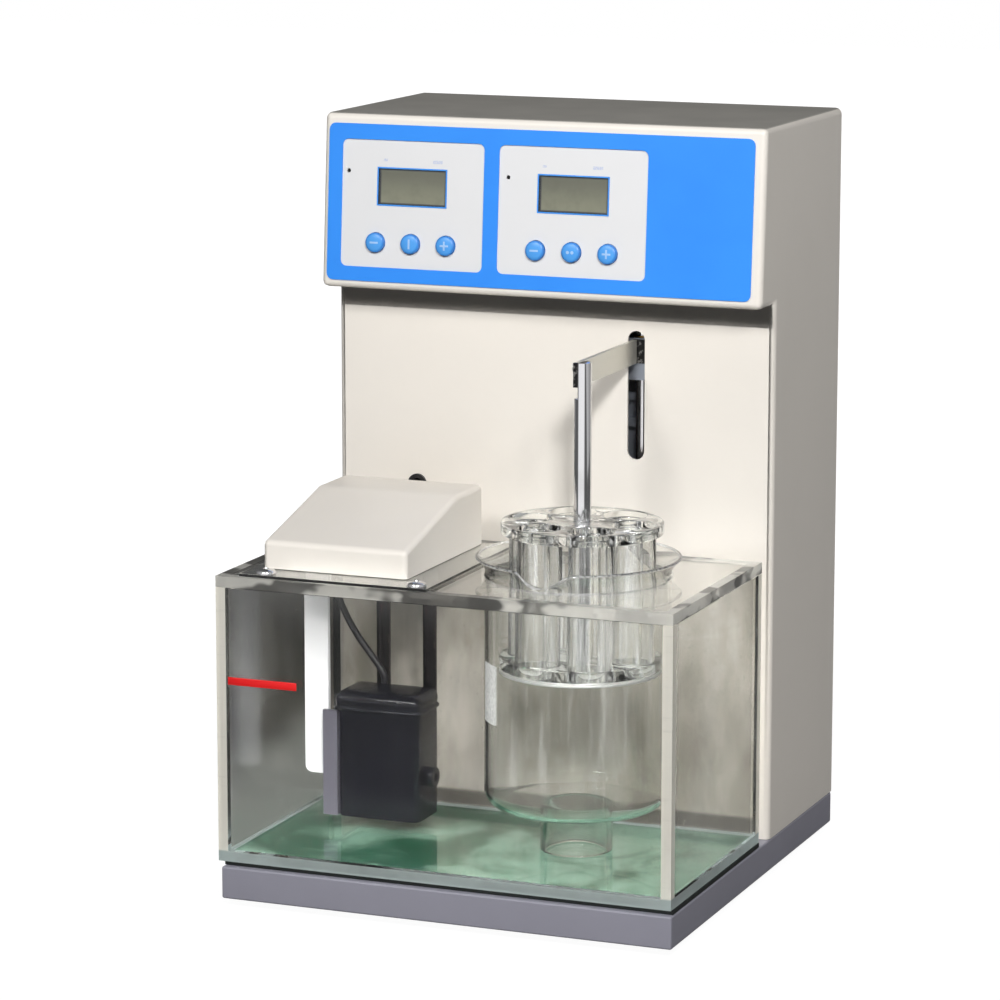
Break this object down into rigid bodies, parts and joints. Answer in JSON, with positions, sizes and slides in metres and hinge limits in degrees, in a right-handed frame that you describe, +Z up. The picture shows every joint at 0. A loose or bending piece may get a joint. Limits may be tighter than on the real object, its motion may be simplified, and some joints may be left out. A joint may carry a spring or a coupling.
{
  "type": "tablet disintegration tester",
  "caption": "Bench tester that dips a basket of glass tubes in a beaker standing in a heated clear water tank, with a head for time and temperature.",
  "frame": {"origin": "middle of the footprint, on the surface that the feet stand on", "axes": "+Z up, -Y towards the user (tank and displays), +X to the right as seen from the front"},
  "size_m": [0.2676, 0.2832, 0.4305],
  "materials": {
    "ivory_paint": "smooth ivory enamel on sheet steel",
    "base_paint": "dark blue-grey enamel, fine texture",
    "clear_acrylic": "clear cast acrylic with cut and polished edges",
    "green_rubber": "dark green rubber sheet",
    "black_rubber": "black rubber",
    "blue_film": "bright blue film, slightly satin",
    "display_glass": "olive-grey liquid crystal window, blank",
    "blue_button": "blue moulded plastic",
    "lamp": "small unlit lamp",
    "circuit_board": "green circuit board",
    "steel": "machined stainless steel",
    "chrome": "polished stainless steel",
    "bronze": "oiled bearing bronze",
    "zinc_paint": "plated steel",
    "copper": "varnished core and winding",
    "glass": "clear laboratory glass",
    "white_plastic": "white plastic",
    "black_plastic": "black moulded plastic",
    "grey_plastic": "dark grey moulded plastic"
  },
  "bodies": {
    "stand": {"base_plinth": "base_paint", "bottom_cover": "steel", "foot_front_left": "black_rubber", "foot_front_right": "black_rubber", "foot_rear_left": "black_rubber", "foot_rear_right": "black_rubber", "tank_mat": "green_rubber", "case_shell": "ivory_paint", "rear_panel": "ivory_paint", "panel_overlay": "blue_film", "time_display": "display_glass", "temperature_display": "display_glass", "time_lamp": "lamp", "temperature_lamp": "lamp", "control_board": "circuit_board", "transformer": "copper", "heater_socket": "black_plastic", "mains_inlet": "black_plastic", "switch_frame": "black_plastic", "lift_frame": "zinc_paint", "gear_motor": "zinc_paint", "guide_rod": "chrome", "water_tank": "clear_acrylic", "tank_cover": "clear_acrylic", "beaker_stand": "clear_acrylic"},
    "lift": {"lift_arm": "steel", "slider_block": "steel", "guide_bush": "bronze", "yoke": "steel"},
    "crank": {"crank_disc": "steel", "pin_roller": "bronze"},
    "basket": {"hanger_rod": "chrome", "hanging_pin": "steel", "basket_upper_plate": "clear_acrylic", "basket_lower_plate": "clear_acrylic", "glass_tube_1": "glass", "glass_tube_2": "glass", "glass_tube_3": "glass", "glass_tube_4": "glass", "glass_tube_5": "glass", "glass_tube_6": "glass", "wire_cloth": "steel", "mesh_retainer": "steel"},
    "beaker": {"beaker": "glass"},
    "heater_unit": {"mounting_plate": "clear_acrylic", "heater_housing": "ivory_paint", "heater_tube": "chrome", "level_sensor": "white_plastic", "pump_body": "black_plastic", "pump_lid": "black_plastic", "pump_bracket": "grey_plastic", "pump_cable": "black_plastic"},
    "impeller": {"impeller": "grey_plastic"},
    "power_rocker": {"switch_rocker": "black_plastic"},
    "time_down_key": {"time_down_button": "blue_button"},
    "time_set_key": {"time_set_button": "blue_button"},
    "time_up_key": {"time_up_button": "blue_button"},
    "temperature_down_key": {"temperature_down_button": "blue_button"},
    "temperature_set_key": {"temperature_set_button": "blue_button"},
    "temperature_up_key": {"temperature_up_button": "blue_button"}
  },
  "joints": [
    {"name": "crank_spin", "type": "hinge", "parent": "stand", "child": "crank", "pos_m": [0.0496, 0.0621, 0.2382], "axis": [0, 1, 0], "range_deg": [-10.47, 169.53]},
    {"name": "arm_lift", "type": "slide", "parent": "stand", "child": "lift", "axis": [0, 0, 1], "range_m": [-0.0518, 0.0032]},
    {"name": "basket_unhook", "type": "slide", "parent": "lift", "child": "basket", "axis": [0, 0, 1], "range_m": [0, 0.0055]},
    {"name": "beaker_lift", "type": "slide", "parent": "stand", "child": "beaker", "axis": [0, 0, 1], "range_m": [0, 0.018]},
    {"name": "heater_lift", "type": "slide", "parent": "stand", "child": "heater_unit", "axis": [0, 0, 1], "range_m": [0, 0.15]},
    {"name": "impeller_spin", "type": "hinge", "parent": "heater_unit", "child": "impeller", "pos_m": [-0.0705, -0.0556, 0.05], "axis": [0, 0, 1], "continuous": true},
    {"name": "power_rocker_tilt", "type": "hinge", "parent": "stand", "child": "power_rocker", "pos_m": [0.086, 0.1349, 0.1034], "axis": [1, 0, 0], "range_deg": [0, 16]},
    {"name": "time_down_press", "type": "slide", "parent": "stand", "child": "time_down_key", "axis": [0, 0.9975, -0.0701], "range_m": [0, 0.0008], "stiffness_N_per_m": 400},
    {"name": "time_set_press", "type": "slide", "parent": "stand", "child": "time_set_key", "axis": [0, 0.9975, -0.0701], "range_m": [0, 0.0008], "stiffness_N_per_m": 400},
    {"name": "time_up_press", "type": "slide", "parent": "stand", "child": "time_up_key", "axis": [0, 0.9975, -0.0701], "range_m": [0, 0.0008], "stiffness_N_per_m": 400},
    {"name": "temperature_down_press", "type": "slide", "parent": "stand", "child": "temperature_down_key", "axis": [0, 0.9975, -0.0701], "range_m": [0, 0.0008], "stiffness_N_per_m": 400},
    {"name": "temperature_set_press", "type": "slide", "parent": "stand", "child": "temperature_set_key", "axis": [0, 0.9975, -0.0701], "range_m": [0, 0.0008], "stiffness_N_per_m": 400},
    {"name": "temperature_up_press", "type": "slide", "parent": "stand", "child": "temperature_up_key", "axis": [0, 0.9975, -0.0701], "range_m": [0, 0.0008], "stiffness_N_per_m": 400}
  ],
  "couplings": [
    {"joint": "crank_spin", "follows": "arm_lift", "rad_per_m": -57.12}
  ]
}
